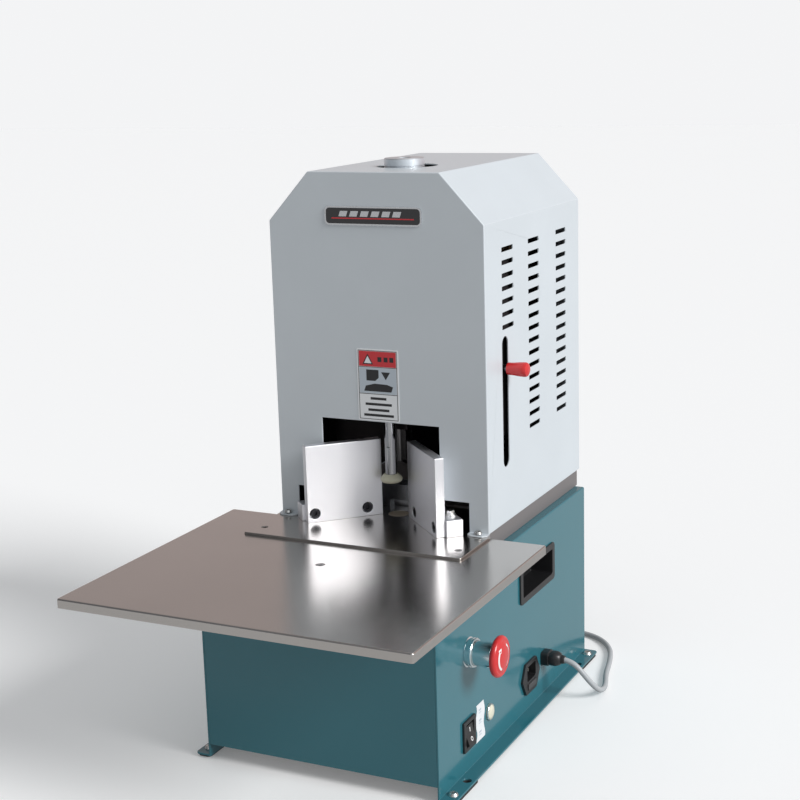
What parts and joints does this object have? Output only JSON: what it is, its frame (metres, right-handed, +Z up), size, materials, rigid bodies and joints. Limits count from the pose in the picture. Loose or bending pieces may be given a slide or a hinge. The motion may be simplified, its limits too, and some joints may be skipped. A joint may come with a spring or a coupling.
{
  "type": "electric corner rounder",
  "caption": "Bench-top electric corner rounder: sheet-metal base and hood, stainless table, V fences, presser, knife ram, controls and foot pedal.",
  "frame": {"origin": "centre of the four bench bolt holes, on the bench surface", "axes": "+Z up, +X to the operator's right, +Y from the operator to the back of the machine"},
  "size_m": [0.3737, 0.7048, 0.5925],
  "materials": {
    "cover_paint": "satin",
    "base_paint": "gloss",
    "stainless": "satin",
    "deck_steel": "satin",
    "bright_aluminium": "satin",
    "chrome_steel": "polished",
    "tool_steel": "ground",
    "frame_steel": "satin",
    "housing_iron": "matt",
    "motor_paint": "satin",
    "bronze": "machined",
    "screw_zinc": "zinc plated",
    "black_oxide": "black oxide",
    "pad_nylon": "matt",
    "cream_plastic": "satin",
    "red_plastic": "gloss",
    "black_plastic": "satin",
    "grey_plastic": "satin",
    "lens_plastic": "gloss",
    "tan_plastic": "matt",
    "label_film": "satin",
    "badge_film": "gloss",
    "pad_rubber": "matt",
    "cord_sheath": "satin"
  },
  "bodies": {
    "machine": {"base_side_right": "base_paint", "base_side_left": "base_paint", "base_front": "base_paint", "base_rear": "base_paint", "base_floor": "deck_steel", "rubber_pads": "pad_rubber", "foot_screws": "screw_zinc", "carry_handles": "black_plastic", "deck_plate": "deck_steel", "table": "stainless", "die_plate": "stainless", "table_screws": "screw_zinc", "anvil_pad": "pad_nylon", "die_block": "tool_steel", "fence_left": "bright_aluminium", "fence_right": "bright_aluminium", "fence_screws": "black_oxide", "fence_brackets": "bright_aluminium", "bracket_bolts": "screw_zinc", "cover_shell": "cover_paint", "cover_back": "cover_paint", "cover_screws": "screw_zinc", "warning_label": "label_film", "nameplate": "badge_film", "frame_side_right": "frame_steel", "frame_side_left": "frame_steel", "lower_bridge": "frame_steel", "upper_bridge": "frame_steel", "guide_posts": "chrome_steel", "gearbox": "housing_iron", "motor": "motor_paint", "motor_capacitor": "tan_plastic", "electrics_plate": "screw_zinc", "presser_bush": "bronze", "estop_body": "chrome_steel", "rocker_bezel": "black_plastic", "power_inlet": "black_plastic", "indicator_lamp": "lens_plastic", "switch_label": "label_film", "pedal_plug": "black_plastic", "pedal_base": "black_plastic", "pedal_cord": "cord_sheath", "pedal_cord_tail": "cord_sheath", "pedal_cord_coil": "cord_sheath"},
    "ram": {"ram_yoke": "tool_steel", "ram_bushes": "bronze", "knife_holder": "tool_steel", "knife": "tool_steel"},
    "crank": {"crank_disc": "tool_steel", "crank_roller": "bronze"},
    "motor_rotor": {"motor_shaft": "chrome_steel", "top_knob": "bright_aluminium"},
    "presser": {"presser_rod": "chrome_steel", "presser_foot": "cream_plastic", "presser_arm": "tool_steel", "lever_knob": "red_plastic"},
    "estop_button": {"estop_head": "red_plastic"},
    "power_rocker": {"rocker": "black_plastic"},
    "fuse_carrier": {"fuse_drawer": "grey_plastic"},
    "treadle": {"pedal_treadle": "black_plastic"}
  },
  "joints": [
    {"name": "ram_slide", "type": "slide", "parent": "machine", "child": "ram", "axis": [0, 0, 1], "range_m": [-0.056, 0]},
    {"name": "crank_turn", "type": "hinge", "parent": "machine", "child": "crank", "pos_m": [0, 0.001, 0.414], "axis": [0, 1, 0], "range_deg": [0, 180]},
    {"name": "motor_turn", "type": "hinge", "parent": "machine", "child": "motor_rotor", "pos_m": [0, 0.022, 0.53], "axis": [0, 0, 1], "range_deg": [0, 3600]},
    {"name": "presser_slide", "type": "slide", "parent": "machine", "child": "presser", "axis": [0, 0, 1], "range_m": [-0.036, 0.024]},
    {"name": "estop_press", "type": "slide", "parent": "machine", "child": "estop_button", "axis": [-1, 0, 0], "range_m": [0, 0.005]},
    {"name": "rocker_tilt", "type": "hinge", "parent": "machine", "child": "power_rocker", "pos_m": [0.1262, -0.1365, 0.043], "axis": [0, 1, 0], "range_deg": [0, 16]},
    {"name": "fuse_drawer_slide", "type": "slide", "parent": "machine", "child": "fuse_carrier", "axis": [1, 0, 0], "range_m": [0, 0.015]},
    {"name": "treadle_press", "type": "hinge", "parent": "machine", "child": "treadle", "pos_m": [-0.13, 0.286, 0.022], "axis": [0, 1, 0], "range_deg": [0, 8], "stiffness_Nm_per_rad": 3, "springref_deg": -6.88}
  ],
  "couplings": [
    {"joint": "crank_turn", "follows": "ram_slide", "rad_per_m": -56.1},
    {"joint": "motor_turn", "follows": "ram_slide", "rad_per_m": -1122}
  ]
}
